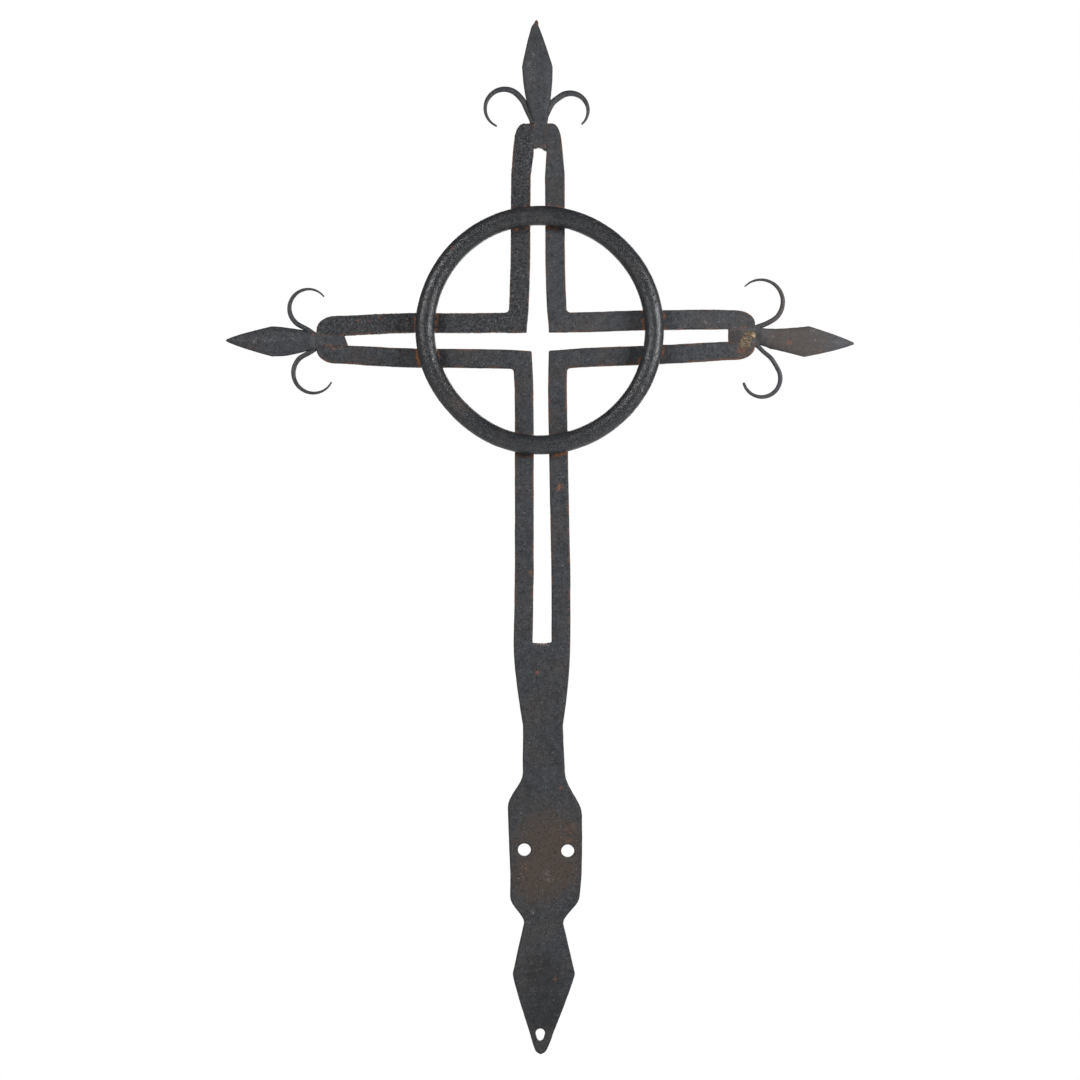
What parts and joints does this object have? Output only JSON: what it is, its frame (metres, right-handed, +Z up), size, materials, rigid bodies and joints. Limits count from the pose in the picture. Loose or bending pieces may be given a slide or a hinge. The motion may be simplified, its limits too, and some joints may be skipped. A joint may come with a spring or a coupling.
{
  "type": "wrought iron grave cross",
  "caption": "Hand-forged iron cross with slit arms, a ring over the crossing, spearhead finials with scrolls and a bolted tang.",
  "frame": {"origin": "midway between the two fixing holes of the tang, on its flat back", "axes": "+Z up along the shaft to the top spearhead, -Y out of the front, where the ring is, and +X towards the right arm"},
  "size_m": [0.4623, 0.0198, 0.7615],
  "materials": {
    "bar_iron": "hammered, pitted, dark with thin rust at the joints",
    "tang_iron": "hammered, brownish, rust round the fixing holes",
    "ring_iron": "round bar, dark, lightly burnished and pitted",
    "spear_iron": "hammered and speckled",
    "brown_iron": "heated brown, dull",
    "scroll_iron": "drawn wire, dull with light wear",
    "repair_brass": "run brazing brass, pitted and tarnished"
  },
  "bodies": {
    "root": {"upper_left_bar": "bar_iron", "upper_right_bar": "bar_iron", "tang_fork": "tang_iron", "ring": "ring_iron", "top_spearhead": "spear_iron", "left_spearhead": "spear_iron", "right_spearhead": "brown_iron", "top_left_scroll": "scroll_iron", "top_right_scroll": "scroll_iron", "left_upper_scroll": "scroll_iron", "left_lower_scroll": "scroll_iron", "right_upper_scroll": "scroll_iron", "right_lower_scroll": "scroll_iron", "brass_repair": "repair_brass"}
  },
  "joints": []
}
